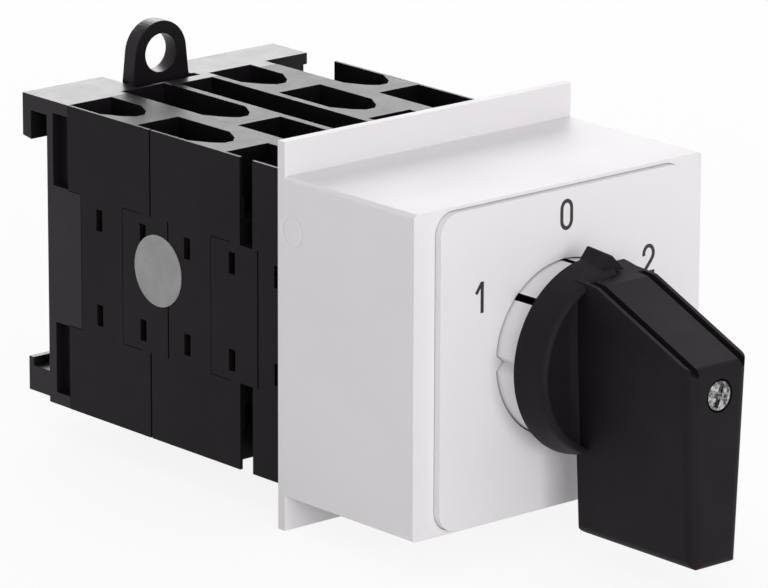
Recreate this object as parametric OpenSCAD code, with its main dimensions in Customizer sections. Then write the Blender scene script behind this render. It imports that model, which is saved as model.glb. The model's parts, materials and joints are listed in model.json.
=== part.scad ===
// Cam-operated changeover switch for a 35 mm rail, positions 1-0-2.
// Frame: origin on the shaft axis in the plane where the rail touches the foot.
// +Z is up, +X is to the right seen from the front, and the front faces -Y.
// A distance s is measured from the rail plane towards the front, so s lies at Y = -s.

/* [Contact chambers] */
// Width of the chamber stack
body_w = 46.2; // [45:0.1:48]
// Height of the chamber stack
body_h = 44.4; // [43.5:0.1:46]
// Distance between two contact levels
level_pitch = 9.7; // [9.5:0.1:11]
// Distance from the rear chamber's rear face to the first contact level
first_level = 7; // [6.6:0.1:8]
// Distance from the last contact level to the front of the stack
last_level = 3.5; // [3.4:0.1:5]
// Half depth of the working space at one contact level
level_half = 2.9; // [2.7:0.05:3]
// Half height of the working space at one contact level
level_top = 12; // [12:0.1:12.3]
// Half width of the working space at one contact level
level_side = 10; // [9.8:0.1:10.2]
// Distance of the seams behind the third and the fifth level
seam_a = 10; // [9.6:0.1:10.4]
// Distance of the seams in front of the second and the fourth level
seam_b = 6.2; // [5.8:0.1:6.6]
// Width of the groove along the middle of the top and the bottom
groove_w = 6.3; // [5:0.1:6.8]
// Depth of that groove
groove_d = 3.9; // [2:0.1:4]
// Half height of the tongues on the sides
tongue_half = 10; // [9:0.1:11]
// Reach of a chamber's tongue over the chamber behind it
tongue_reach = 4.2; // [3:0.1:5]
// Reach of the foot's tongue over the rear chamber
foot_tongue_reach = 2.8; // [2:0.1:4]
// Thickness of a tongue
tongue_t = 0.7; // [0.5:0.05:0.8]

/* [Terminals] */
// Outer edge of the outer terminal openings, from the middle
outer_out = 22.2; // [21.8:0.1:22.3]
// Inner edge of the outer terminal openings, from the middle
outer_in = 15.7; // [15.4:0.1:16]
// Outer edge of the inner terminal openings, from the middle
inner_out = 11.6; // [11.4:0.1:12]
// Inner edge of the inner terminal openings, from the middle
inner_in = 4.8; // [4.7:0.1:5.2]
// Height of the terminal floor above the shaft axis
floor_z = 13; // [12.8:0.1:13.2]
// Radius of the round screwdriver nose of an opening
nose_r = 2.8; // [2.6:0.05:2.9]
// Reach of the outer-left and inner-right openings behind their screws
reach_a = 12.2; // [11.6:0.1:12.4]
// Reach of the inner-left and outer-right openings behind their screws
reach_b = 12.8; // [12:0.1:13]
// Distance of the left screws in front of their level
screw_ahead = 0.8; // [0.6:0.05:0.9]
// Distance of the right screws behind their level
screw_behind = 0.9; // [0.7:0.05:1.1]
// Height of the openings' wide mouths above the shaft axis
mouth_low = 16.4; // [16:0.1:17]
// Widening of a mouth on each side
mouth_wide = 0.45; // [0.2:0.05:0.5]
// Reach of a mouth's tip in front of its screw
mouth_tip = 3.3; // [3:0.1:3.4]
// Thickness of the contact strips
strip_t = 0.6; // [0.5:0.05:0.7]
// Width of the contact strips
strip_w = 3; // [2.5:0.1:3.4]
// Thickness of the clamp plates
clamp_t = 1.2; // [1:0.1:1.5]
// Reach of the clamp plates behind their screws
clamp_back = 6.8; // [6:0.1:7.5]
// Radius of the terminal screw heads
screw_head_r = 2.3; // [2:0.05:2.4]
// Height of the terminal screw heads
screw_head_h = 1.9; // [1.6:0.1:2.1]
// Radius of the terminal screw threads
screw_r = 1.4; // [1.2:0.05:1.5]

/* [Shaft and cams] */
// Length of the rear bearing
bearing_l = 3; // [2.6:0.1:3.4]
// Width across the flats of the square shaft
shaft_sq = 5; // [4.6:0.1:5.2]
// Cam radius with the knob at 0
cam_r = 6.4; // [6.3:0.05:6.5]
// Travel of a contact between 0 and 1, or 0 and 2
contact_travel = 1.5; // [1.3:0.05:1.5]
// Angle between two knob positions
index_deg = 60; // [60:1:60]
// Thickness of a cam
cam_t = 4.4; // [4:0.1:4.8]
// Half width of a contact plunger
plunger_half = 2.6; // [2.3:0.05:2.9]
// Radius of the contact springs
contact_spring_r = 1.5; // [1.3:0.05:1.7]
// Distance of the star wheel in front of the chambers
star_back = 3.4; // [3.2:0.1:3.8]
// Tip radius of the detent star
star_r = 8; // [7.6:0.1:8.4]
// Depth of a detent notch
notch_d = 0.7; // [0.5:0.05:0.8]
// Radius of the detent rollers
roller_r = 1.5; // [1.3:0.05:1.7]

/* [Rail foot] */
// Thickness of the foot in front of the rail
foot_t = 4.8; // [4.6:0.1:6]
// Height of the rail that the foot takes
rail_h = 35; // [35:0.1:35]
// Reach of the hooks behind the rail plane
hook_reach = 5.5; // [5:0.1:7]
// Thickness of the hook lips
lip_t = 1.9; // [1.5:0.1:2.4]
// Width of each lower hook
hook_w = 14; // [10:0.5:15]
// Lowest edge of the upper lips above the axis
upper_lip_z = 15.7; // [15.2:0.1:16.5]
// Roof of the upper hooks above the axis
upper_roof_z = 19.9; // [19.7:0.1:20.4]
// Highest edge of the lower lips below the axis
lower_lip_z = 16.4; // [15.8:0.1:17]
// Sideways place of the latch and its eyelet
latch_x = -3.05; // [-3.3:0.05:-2.8]
// Gap between the eyelet and the upper hooks beside it
hook_gap = 0.6; // [0.4:0.1:1]
// Width of the latch eyelet at its foot
eyelet_w = 10.2; // [9.6:0.1:10.6]
// Thickness of the latch eyelet
eyelet_t = 2.5; // [2:0.1:3]
// Radius of the eyelet hole
eyelet_hole_r = 2.8; // [2.2:0.1:3]
// Height of the eyelet hole above the axis
eyelet_hole_z = 26; // [25.5:0.1:27]
// Wall around the top of the eyelet hole
eyelet_wall = 1.85; // [1.6:0.05:2]
// Width of the latch bar in its channel
latch_bar_w = 9; // [8:0.1:9.4]
// Thickness of the latch bar
latch_bar_t = 2.1; // [1.9:0.1:2.2]

/* [Front cover] */
// Width of the cover
cover_w = 51.9; // [51:0.1:54]
// Height of the cover box
cover_h = 45; // [45:0.1:46]
// Height of the flange
flange_h = 54.5; // [52:0.1:58]
// Thickness of the flange
flange_t = 1.4; // [1.2:0.1:2]
// Depth of the cover from the rear of its flange to its front
cover_d = 27.7; // [27:0.1:30]
// Wall thickness of the cover
cover_wall = 1.5; // [1.2:0.1:1.8]
// Thickness of the cover's front wall
cover_front_t = 2.2; // [2:0.1:2.6]
// Width of the dial plate
plate_w = 44.4; // [42:0.1:46]
// Height of the dial plate
plate_h = 43.8; // [42:0.1:44]
// Thickness of the dial plate
plate_t = 2; // [1.6:0.1:2.2]
// Depth of the dial plate's seat in the cover
plate_seat = 0.9; // [0.6:0.1:1.2]
// Corner radius of the dial plate
plate_r = 3; // [2:0.1:5]
// Radius of the round hole in the dial plate
dial_hole_r = 12.35; // [12.2:0.05:13]

/* [Knob and collar] */
// Outer radius of the collar
collar_r = 12.1; // [11.6:0.05:12.1]
// Bore radius of the collar
collar_bore_r = 8.05; // [7.5:0.05:8.5]
// Distance of the collar's face in front of the dial plate
collar_out = 4.8; // [4:0.1:6]
// Depth of the key grooves in the collar
key_d = 1; // [0.8:0.1:1.4]
// Half width of the key grooves
key_half = 1.5; // [1.3:0.1:2]
// Width of the three slots in the collar
collar_slot_w = 1; // [0.8:0.1:1.4]
// Radius of the knob skirt at its rear
skirt_r = 13.65; // [13.4:0.05:15]
// Radius of the knob skirt at its front
skirt_front_r = 13; // [12.8:0.05:13.2]
// Depth of the knob skirt
skirt_d = 5; // [4:0.1:6]
// Radius of the recess in the skirt's face
recess_r = 12; // [11.6:0.05:12.2]
// Depth of the recess in the skirt's face
skirt_recess = 2.4; // [1.5:0.1:3]
// Reach of the grip in front of the skirt's rear edge
grip_reach = 25; // [22:0.1:28]
// Half width of the grip at the top
grip_half_top = 5.5; // [5:0.05:5.6]
// Half width of the grip at its lower end
grip_half_low = 4.1; // [3.8:0.05:5]
// Height of the grip's top above the axis, where its slope begins
grip_top_z = 11.75; // [11.4:0.05:11.9]
// Reach of the grip's flat top in front of the skirt's rear edge
grip_flat = 7; // [6:0.1:9]
// Rise of the flat top from where the slope begins back to the skirt's rear edge
grip_rise = 0.5; // [0.3:0.05:0.6]
// Height of the grip's front edge above the axis
grip_front_z = 4; // [3:0.1:6]
// Depth of the grip's lower end below the axis
grip_low_z = 23.6; // [20:0.1:25]
// Radius of the grip's upright front edges
grip_edge_r = 1.8; // [1:0.1:2]
// Radius of the grip's corners seen from the side
grip_corner_r = 1.2; // [0.8:0.1:1.5]
// Radius of the grip's lower corners seen from the front
grip_foot_r = 1.7; // [1:0.1:2.2]
// Width of the rim along each side of the grip's slope
rim_w = 0.6; // [0.4:0.05:0.8]
// Width of the groove beside each rim
rim_groove_w = 1.1; // [0.8:0.05:1.3]
// Depth of the groove beside each rim
rim_groove_d = 0.9; // [0.5:0.05:1]
// Height of the pointer's ridge above the axis, at its front
pointer_z = 14.55; // [14.3:0.05:15.5]
// Rise of the pointer's ridge towards its rear
pointer_rise = 0.35; // [0.1:0.05:0.6]
// Half width of the pointer at the skirt
pointer_half = 2.3; // [2:0.1:3]

/* [Fasteners] */
// Radius of the tie bolts
bolt_r = 1.25; // [1:0.05:1.3]
// Sideways place of the tie bolts
bolt_x = 14; // [13.8:0.1:14.2]
// Height of the tie bolts above and below the axis
bolt_z = 13.9; // [13.8:0.1:14]
// Radius of the tie bolt heads
bolt_head_r = 2.1; // [2:0.05:2.2]
// Height of the tie bolt heads
bolt_head_h = 1.5; // [1:0.1:2]
// Radius of the knob screw's thread
knob_screw_r = 1.5; // [1.2:0.05:1.6]
// Radius of the knob screw's head
knob_screw_head_r = 2; // [1.9:0.05:2.6]

/* [Clearances] */
// Radial clearance of a running fit
run = 0.05; // [0.02:0.01:0.1]
// Clearance between pieces that slide past each other
slide_gap = 0.15; // [0.1:0.01:0.2]
// Clearance between pieces that only lie beside each other
fit_gap = 0.1; // [0.05:0.01:0.15]

/* [Hidden] */
$fn = 48;

levels = 5;
half_w = body_w / 2;
half_h = body_h / 2;
more = 0.5;

// Distances s of the main planes
function level_s(i) = foot_t + first_level + i * level_pitch;
stack_end = level_s(levels - 1) + last_level;
cover_rear = stack_end;
cover_front = cover_rear + cover_d;
plate_rear = cover_front - plate_seat;
plate_front = plate_rear + plate_t;
collar_face = plate_front + collar_out;
skirt_rear = collar_face + slide_gap;
skirt_front = skirt_rear + skirt_d;
recess_floor = skirt_front - skirt_recess;
grip_front = skirt_rear + grip_reach;
column_x = (outer_in + inner_out) / 2 - 1.3;
function part_a(i) = i == 0 ? foot_t : level_s(2 * i) - seam_a;
function part_b(i) = i == 0 ? foot_t : level_s(2 * i - 1) + seam_b;
function end_a(i) = i == 2 ? stack_end : part_a(i + 1);
function end_b(i) = i == 2 ? stack_end : part_b(i + 1);

// A box given by its corners, with s for the depth
module block(x0, x1, s0, s1, z0, z1) {
  translate([x0, -s1, z0]) cube([x1 - x0, s1 - s0, z1 - z0]);
}

// A round bar along the shaft's direction
module bar(r, s0, s1, x = 0, z = 0) {
  translate([x, -s0, z]) rotate([90, 0, 0]) cylinder(r = r, h = s1 - s0);
}

// A flat outline seen from the front, drawn out from s0 to s1
module front_outline(s0, s1) {
  translate([0, -s0, 0]) rotate([90, 0, 0]) linear_extrude(height = s1 - s0) children();
}

// An outline in the plane of the shaft and the vertical, as [s, z], drawn out from x0 to x1
module side_outline(x0, x1) {
  translate([x0, 0, 0]) rotate([90, 0, 90]) linear_extrude(height = x1 - x0)
    mirror([1, 0, 0]) children();
}

module both_sides() {
  children();
  mirror([1, 0, 0]) children();
}

module top_and_bottom() {
  children();
  mirror([0, 0, 1]) children();
}

module four_corners(x, z) {
  for (sx = [-1, 1], sz = [-1, 1]) translate([sx * x, 0, sz * z]) children();
}

// A closed-wound spring along +Z: round turns on a thin sleeve
module coil(r, wire, length, turns) {
  step = (length - wire) / turns;
  rotate_extrude($fn = 32) union() {
    for (i = [0 : turns]) translate([r - wire / 2, wire / 2 + i * step]) circle(d = wire, $fn = 16);
    translate([r - 0.6 * wire, wire / 2]) square([0.2 * wire, length - wire]);
  }
}

// Rail foot with its hooks, the latch channel and the side recesses
latch_channel_w = latch_bar_w + 2 * slide_gap;
latch_bar_s0 = 0.3;
latch_bar_s1 = latch_bar_s0 + latch_bar_t;
latch_bar_low = 2;
latch_bar_top = half_h - 1.6;
latch_rib = 1.1;
latch_rib_s0 = 1.3;
latch_window_low = 4.2;
latch_window_top = 14;
latch_window_w = 4.4;
latch_peg_h = 2;
latch_peg_low = latch_window_top - fit_gap - latch_peg_h;
latch_spring_r = latch_bar_t / 2 - 0.05;
eyelet_s0 = -1.6;
eyelet_s1 = eyelet_s0 + eyelet_t;
recess_d = 1.4;
lower_recess_s0 = 1.7;
upper_recess_s0 = 1.4;
upper_recess_top = 20.5;
head_room = 0.4;
tongue_top = tongue_half - 0.2;

module hook_outline_upper() {
  polygon([
    [0, half_h], [0, upper_roof_z], [-(hook_reach - lip_t), upper_roof_z],
    [-(hook_reach - lip_t), upper_lip_z], [-hook_reach, upper_lip_z + 0.3], [-hook_reach, half_h]
  ]);
}

module hook_outline_lower() {
  slot_floor = -(rail_h / 2 + fit_gap);
  polygon([
    [0, -half_h + 0.8], [0, slot_floor], [-(hook_reach - lip_t), slot_floor],
    [-(hook_reach - lip_t), -lower_lip_z], [-(hook_reach - 0.8), -lower_lip_z],
    [-(hook_reach - 0.8), -half_h + 0.8]
  ]);
}

module rail_foot() {
  color("#1d1d1f") difference() {
    union() {
      block(-half_w, half_w, 0, foot_t, -half_h, half_h);
      side_outline(-half_w, latch_x - eyelet_w / 2 - hook_gap) hook_outline_upper();
      side_outline(latch_x + eyelet_w / 2 + hook_gap, half_w) hook_outline_upper();
      both_sides() side_outline(half_w - hook_w, half_w) hook_outline_lower();
      // Side tongues over the rear chamber
      both_sides() block(half_w - tongue_t, half_w, foot_t, foot_t + foot_tongue_reach,
        -tongue_top, tongue_top);
    }
    translate([latch_x, 0, 0]) latch_room();
    // Side recesses between the hooks and the chambers
    both_sides() block(half_w - recess_d, half_w + more, lower_recess_s0, foot_t + more,
      -half_h + 1.8, -tongue_half);
    both_sides() block(half_w - recess_d, half_w + more, upper_recess_s0, foot_t + more,
      tongue_half, upper_recess_top);
    // Rear ends of the terminal openings
    rear_end_cuts();
    four_corners(bolt_x, bolt_z) bar(bolt_r + fit_gap, -more, foot_t + more);
    four_corners(bolt_x, bolt_z) bar(bolt_head_r + fit_gap, -more, bolt_head_h + head_room);
  }
  // Peg that holds the upper end of the latch spring
  color("#1d1d1f") translate([latch_x, 0, 0]) block(-latch_peg_w / 2, latch_peg_w / 2, 0.6,
    latch_bar_s1 + slide_gap, latch_peg_low, latch_peg_low + latch_peg_h);
}

// Channel of the latch bar, open to the rear and to the top, with a groove on each side
latch_peg_w = latch_window_w - 0.6;
module latch_room() {
  front = latch_bar_s1 + slide_gap;
  low = latch_bar_low - slide_gap;
  block(-latch_channel_w / 2, latch_channel_w / 2, -more, front, low, half_h + more);
  block(-latch_channel_w / 2 - latch_rib, latch_channel_w / 2 + latch_rib,
    latch_rib_s0 - slide_gap, front, low, half_h + more);
  // Room for the eyelet's shoulders above the rail
  block(-eyelet_w / 2 - slide_gap, eyelet_w / 2 + slide_gap, -more, eyelet_s1 + slide_gap,
    rail_h / 2 - 1, half_h + more);
}

// Open rear ends of the openings nearest to the rail, top and bottom
rear_end_inner_left = 3.2;
rear_end_inner_right = 2.6;
rear_end_outer_right = 2.2;
module rear_end_cuts() {
  top_and_bottom() {
    rear_end(-inner_out - mouth_wide, -inner_in + mouth_wide, rear_end_inner_left,
      screw_s(1, -1) - reach_b + 1);
    rear_end(inner_in - mouth_wide, inner_out + mouth_wide, rear_end_inner_right, foot_t + 1);
    rear_end(outer_in - mouth_wide, half_w + more, rear_end_outer_right,
      screw_s(1, 1) - reach_b + 1);
  }
}

module rear_end(x0, x1, s0, s1) {
  block(x0, x1, s0, s1, mouth_low, half_h + more);
}

// Latch: bar in the foot's channel, block on the rail and eyelet above it
module eyelet_outline() {
  top_r = eyelet_hole_r + eyelet_wall;
  hull() {
    translate([0, eyelet_hole_z]) circle(r = top_r);
    translate([-eyelet_w / 2, half_h - 1]) square([eyelet_w, 1]);
  }
}

module rail_latch() {
  color("#1a1a1c") translate([latch_x, 0, 0]) difference() {
    union() {
      block(-latch_bar_w / 2, latch_bar_w / 2, latch_bar_s0, latch_bar_s1, latch_bar_low,
        latch_bar_top);
      // Ribs that run in the channel's side grooves
      block(-latch_bar_w / 2 - latch_rib, latch_bar_w / 2 + latch_rib, latch_rib_s0,
        latch_bar_s1, latch_bar_low, rail_h / 2);
      block(-eyelet_w / 2, eyelet_w / 2, eyelet_s0, eyelet_s1, rail_h / 2 + fit_gap, half_h - 0.5);
      front_outline(eyelet_s0, eyelet_s1) eyelet_outline();
    }
    bar(eyelet_hole_r, eyelet_s0 - more, eyelet_s1 + more, 0, eyelet_hole_z);
    block(-latch_window_w / 2, latch_window_w / 2, latch_bar_s0 - more, latch_bar_s1 + more,
      latch_window_low, latch_window_top);
    // The bar stays in front of the rail
    block(-latch_bar_w, latch_bar_w, -more - 4, latch_bar_s0, latch_bar_low - more, rail_h / 2);
  }
}

module latch_spring() {
  color("#b9bcc0") translate([latch_x, -(latch_bar_s0 + latch_bar_s1) / 2, latch_window_low])
    coil(latch_spring_r, 0.5, latch_peg_low - latch_window_low, 6);
}

// Openings for wire and screwdriver at one level, on the top: side is -1 left or 1 right
module opening(i, side, x_in, x_out) {
  half = (x_out - x_in) / 2;
  s = screw_s(i, side);
  translate([side * (x_in + x_out) / 2, 0, 0]) {
    block(-half, half, s - reach_of(i), s - straight_end, floor_z, half_h + more);
    translate([0, -s, floor_z]) cylinder(r = nose_r, h = half_h - floor_z + more);
    // Room for the clamp under the roof beside the screw
    block(-half, half, s - nose_r, s + clamp_front + 2 * fit_gap, floor_z,
      floor_z + clamp_room_h);
    // Wide mouth with its tapered tip
    translate([0, -s, mouth_low]) linear_extrude(height = half_h - mouth_low + more)
      mouth_outline(half + mouth_wide, reach_of(i));
  }
}

// Half width of a mouth's tip where it starts to narrow faster, and at its end
shoulder_half = 2.2;
shoulder_ahead = 1.9;
tip_half = 0.8;
straight_end = 1;
module mouth_outline(half, reach) {
  polygon([
    [-half, reach], [-half, straight_end], [-shoulder_half, -shoulder_ahead],
    [-tip_half, -mouth_tip], [tip_half, -mouth_tip], [shoulder_half, -shoulder_ahead],
    [half, straight_end], [half, reach]
  ]);
}

// Levels 0, 2, 4 have their openings outside left and inside right, levels 1, 3 the other way
function outside_left(i) = i % 2 == 0;
function outer_side(i) = outside_left(i) ? -1 : 1;
function reach_of(i) = outside_left(i) ? reach_a : reach_b;
function screw_s(i, side) = level_s(i) + (side < 0 ? screw_ahead : -screw_behind);
outer_mid = (outer_in + outer_out) / 2;
inner_mid = (inner_in + inner_out) / 2;
clamp_half = 2.5;
clamp_front = 2.2;
clamp_room_h = strip_t + clamp_t + 1;
front_wall = 0.4;
screw_end = 0.8;

// Room at one level for the cam, the plungers, the bridges and the contact strips
cam_max = cam_r + contact_travel;
strip_z = 6.6;
button_h = 0.4;
button_r = 1.2;
button_x = 7.6;
contact_gap = contact_travel + 0.05;
bridge_z = strip_z + strip_t + 2 * button_h + contact_gap;
bridge_t = 0.8;
bridge_half = 9;
plunger_tip_r = 1.5;
plunger_tip_z = cam_r + 0.1;
plunger_top_z = bridge_z + bridge_t + 1.2;
plunger_t = 4;
spring_end_z = half_h - groove_d - 1.1;
riser_outer = outer_out - 1;
riser_inner = inner_out - 0.7;
hub_r = 3.9;
window_w = 1.35;
window_h = 3.1;

module level_room(i) {
  s = level_s(i);
  o = outer_side(i);
  s1 = i == levels - 1 ? stack_end + more : s + level_half;
  // Bridge and cam
  block(-level_side, level_side, s - level_half, s1, -level_top, level_top);
  top_and_bottom() {
    // Plunger's way and its spring
    block(-plunger_half - slide_gap, plunger_half + slide_gap, s - plunger_t / 2 - slide_gap,
      s + plunger_t / 2 + slide_gap, 0, plunger_top_z + contact_travel + 0.3);
    translate([0, -s, 0]) cylinder(r = contact_spring_r + slide_gap, h = spring_end_z);
    // Strips to the outer and to the inner terminal
    strip_room(s, o, riser_outer);
    strip_room(s, -o, riser_inner);
    // Threaded ends of the terminal screws
    for (place = [[o, outer_mid], [-o, inner_mid]])
      translate([place[0] * place[1], -screw_s(i, place[0]), floor_z - screw_end - fit_gap])
        cylinder(r = screw_r + fit_gap, h = screw_end + 1);
  }
  // Windows in the side walls at the strips' ends
  both_sides() top_and_bottom() block(half_w - 2.6, half_w + more, s - window_w / 2,
    s + window_w / 2, strip_z + strip_t / 2 - window_h / 2, strip_z + strip_t / 2 + window_h / 2);
}

module strip_room(s, side, riser) {
  gap = fit_gap;
  x0 = side > 0 ? level_side - more : -riser - strip_t - gap;
  x1 = side > 0 ? riser + strip_t + gap : -level_side + more;
  block(x0, x1, s - strip_w / 2 - gap, s + strip_w / 2 + gap, strip_z - gap, strip_z + strip_t + gap);
  xr0 = side > 0 ? riser - gap : -riser - strip_t - gap;
  xr1 = side > 0 ? riser + strip_t + gap : -riser + gap;
  block(xr0, xr1, s - strip_w / 2 - gap, s + strip_w / 2 + gap, strip_z - gap, floor_z + more);
}

module stack_cuts() {
  for (i = [0 : levels - 1]) level_room(i);
  intersection() {
    for (i = [0 : levels - 1]) top_and_bottom() {
      opening(i, outer_side(i), outer_in, outer_out);
      opening(i, -outer_side(i), inner_in, inner_out);
    }
    block(-half_w - 1, half_w + 1, foot_t - more, stack_end - front_wall, -half_h - 1, half_h + 1);
  }
  rear_end_cuts();
  // Shaft way with room for the cam hubs
  bar(hub_r + 0.3, bearing_end, stack_end + more);
  bar(bearing_r, foot_t - more, bearing_end + 0.1);
  // Groove along the middle
  top_and_bottom() block(-groove_w / 2, groove_w / 2, foot_t - more, stack_end + more,
    half_h - groove_d, half_h + more);
  four_corners(bolt_x, bolt_z) bar(bolt_r + fit_gap, foot_t - more, stack_end + more);
  // Deep slots across the sides between the middle and the front chamber
  both_sides() top_and_bottom() block(half_w - 1.9, half_w + more, part_a(2) + 2,
    part_a(2) + 4.7, tongue_top, half_h + more);
  // Fine groove beside the first seam
  both_sides() top_and_bottom() block(half_w - 0.4, half_w + more, part_a(1) + 1.8,
    part_a(1) + 2.1, tongue_top, half_h + more);
}

// One chamber: four columns whose seams are stepped, with tongues that reach back on the sides
module chamber(i) {
  z = half_h;
  difference() {
    union() {
      block(-half_w, -column_x, part_a(i), end_a(i), -z, z);
      block(-column_x, 0, part_b(i), end_b(i), -z, z);
      block(0, column_x, part_a(i), end_a(i), -z, z);
      block(column_x, half_w, part_b(i), end_b(i), -z, z);
      if (i > 0) mirror([1, 0, 0]) tongue(part_a(i) - tongue_reach, part_a(i) + more, tongue_top, 0);
      if (i > 0) tongue(part_b(i) - tongue_reach, part_b(i) + more, tongue_top, 0);
    }
    stack_cuts();
    // Seats of the tongues that reach over this chamber
    if (i == 0) both_sides() tongue(foot_t - more, foot_t + foot_tongue_reach, tongue_top, fit_gap);
    if (i < 2) mirror([1, 0, 0]) tongue(end_a(i) - tongue_reach, end_a(i) + more, tongue_top,
      fit_gap);
    if (i < 2) tongue(end_b(i) - tongue_reach, end_b(i) + more, tongue_top, fit_gap);
    // Fine line in front of each tongue
    if (i > 0) mirror([1, 0, 0]) tongue_line(part_a(i) + tongue_front);
    if (i > 0) tongue_line(part_b(i) + tongue_front);
  }
}

// A tongue on the right side, with the given allowance all round
tongue_front = 5.7;
module tongue(s0, s1, half, gap) {
  block(half_w - tongue_t - gap, half_w + (gap > 0 ? more : 0), s0 - gap, s1 + gap, -half - gap,
    half + gap);
}

module tongue_line(s) {
  block(half_w - 0.25, half_w + more, s, s + 0.25, -tongue_top, tongue_top);
}

module rear_chamber() {
  color("#222224") chamber(0);
}

module middle_chamber() {
  color("#202022") chamber(1);
}

module front_chamber() {
  color("#222224") chamber(2);
}

// Rear bearing bush of the shaft
bearing_r = 4.4;
bearing_end = foot_t + bearing_l;
journal_r = shaft_sq / 2 - 0.05;
module rear_bearing() {
  color("#8d7a4a") difference() {
    bar(bearing_r, foot_t, bearing_end);
    bar(journal_r + run, foot_t - more, bearing_end + more);
  }
}

// Shaft: square bar with a round journal at the rear and a threaded blind hole at the front
shaft_end = skirt_rear + 6;
module shaft() {
  color("#a9abad") difference() {
    union() {
      block(-shaft_sq / 2, shaft_sq / 2, bearing_end + 0.3, shaft_end, -shaft_sq / 2,
        shaft_sq / 2);
      bar(journal_r, foot_t + 0.3, bearing_end + 0.4);
    }
    bar(knob_screw_r, shaft_end - 10, shaft_end + more);
  }
}

// Cam outline: radius falls in step with the angle above the axis and rises below it
function cam_radius(a) =
  a < index_deg / 2 ? cam_r - contact_travel :
  a <= 180 - index_deg / 2 ? cam_r - contact_travel
    + 2 * contact_travel * (a - index_deg / 2) / (2 * index_deg) :
  cam_r + contact_travel;

module cam_outline() {
  upper = [for (a = [0 : 5 : 180]) cam_radius(a) * [cos(a), sin(a)]];
  lower = [for (a = [175 : -5 : 5]) cam_radius(a) * [cos(a), -sin(a)]];
  polygon(concat(upper, lower));
}

module cam(i) {
  s = level_s(i);
  hub_rear = max(s - level_pitch / 2, bearing_end) + fit_gap;
  hub_front = min(s + level_pitch / 2, stack_end) - fit_gap;
  color("#d8d3c4") difference() {
    union() {
      front_outline(s - cam_t / 2, s + cam_t / 2) cam_outline();
      bar(hub_r, hub_rear, hub_front);
    }
    block(-shaft_sq / 2 - run, shaft_sq / 2 + run, s - level_pitch, s + level_pitch,
      -shaft_sq / 2 - run, shaft_sq / 2 + run);
  }
}

// Contact plungers, which follow the cams up and down
module plunger_outline() {
  shoulder_z = plunger_tip_z + plunger_tip_r;
  translate([0, shoulder_z]) circle(r = plunger_tip_r);
  translate([-plunger_half, shoulder_z]) square([2 * plunger_half, plunger_top_z - shoulder_z]);
}

module plunger(i) {
  difference() {
    translate([0, -level_s(i) + plunger_t / 2, 0]) rotate([90, 0, 0])
      linear_extrude(height = plunger_t) plunger_outline();
    block(-plunger_half - more, plunger_half + more, level_s(i) - bridge_w / 2,
      level_s(i) + bridge_w / 2, bridge_z, bridge_z + bridge_t);
  }
}

bridge_w = 2.6;
module bridge(i) {
  block(-bridge_half, bridge_half, level_s(i) - bridge_w / 2, level_s(i) + bridge_w / 2,
    bridge_z, bridge_z + bridge_t);
  both_sides() translate([button_x, -level_s(i), bridge_z - button_h])
    cylinder(r = button_r, h = button_h + 0.1);
}

module fixed_contact(i, side, riser, mid, half) {
  s = level_s(i);
  plate_s = screw_s(i, side);
  w0 = s - strip_w / 2;
  w1 = s + strip_w / 2;
  mirror([side > 0 ? 0 : 1, 0, 0]) {
    block(button_x - strip_w / 2, riser + strip_t, w0, w1, strip_z, strip_z + strip_t);
    block(riser, riser + strip_t, w0, w1, strip_z, floor_z + strip_t);
    difference() {
      block(mid - half, riser + strip_t, plate_s - clamp_front, plate_s + clamp_front, floor_z,
        floor_z + strip_t);
      translate([mid, -plate_s, floor_z - more]) cylinder(r = screw_r + 2 * fit_gap, h = 2);
    }
    translate([button_x, -s, strip_z + strip_t - 0.1]) cylinder(r = button_r, h = button_h + 0.1);
  }
}

module clamp(i, side, mid, half) {
  s = screw_s(i, side);
  z = floor_z + strip_t;
  mirror([side > 0 ? 0 : 1, 0, 0]) difference() {
    block(mid - half, mid + half, max(s - clamp_back, foot_t + fit_gap), s + clamp_front, z,
      z + clamp_t);
    translate([mid, -s, z - more]) cylinder(r = screw_r + 2 * fit_gap, h = clamp_t + 1);
  }
}

// Screw with a cross of one long and one short slot
screw_slot_w = 0.7;
screw_slot_d = 1;
module terminal_screw(i, side, mid) {
  z = floor_z + strip_t + clamp_t;
  top = z + screw_head_h;
  translate([side * mid, -screw_s(i, side), 0]) difference() {
    union() {
      translate([0, 0, z]) cylinder(r = screw_head_r, h = screw_head_h);
      translate([0, 0, floor_z - screw_end]) cylinder(r = screw_r, h = z - floor_z + screw_end + 0.2);
    }
    translate([-screw_head_r, -screw_slot_w / 2, top - screw_slot_d])
      cube([2 * screw_head_r, screw_slot_w, 2]);
    translate([-screw_slot_w / 2, -0.7 * screw_head_r, top - screw_slot_d])
      cube([screw_slot_w, 1.4 * screw_head_r, 2]);
  }
}

module each_level() {
  for (i = [0 : levels - 1]) {
    $level = i;
    children();
  }
}

module upper_plungers() {
  color("#e2ded2") each_level() plunger($level);
}

module lower_plungers() {
  mirror([0, 0, 1]) upper_plungers();
}

module upper_bridges() {
  color("#c07a4a") each_level() bridge($level);
}

module lower_bridges() {
  mirror([0, 0, 1]) upper_bridges();
}

module upper_springs() {
  color("#b9bcc0") each_level() translate([0, -level_s($level), plunger_top_z])
    coil(contact_spring_r, 0.4, spring_end_z - plunger_top_z, 5);
}

module lower_springs() {
  mirror([0, 0, 1]) upper_springs();
}

module upper_fixed_contacts() {
  color("#c98a5b") each_level() {
    fixed_contact($level, outer_side($level), riser_outer, outer_mid, clamp_half);
    fixed_contact($level, -outer_side($level), riser_inner, inner_mid, clamp_half);
  }
}

module lower_fixed_contacts() {
  mirror([0, 0, 1]) upper_fixed_contacts();
}

module upper_clamps() {
  color("#b4b6b8") each_level() {
    clamp($level, outer_side($level), outer_mid, clamp_half);
    clamp($level, -outer_side($level), inner_mid, clamp_half);
  }
}

module lower_clamps() {
  mirror([0, 0, 1]) upper_clamps();
}

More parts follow.
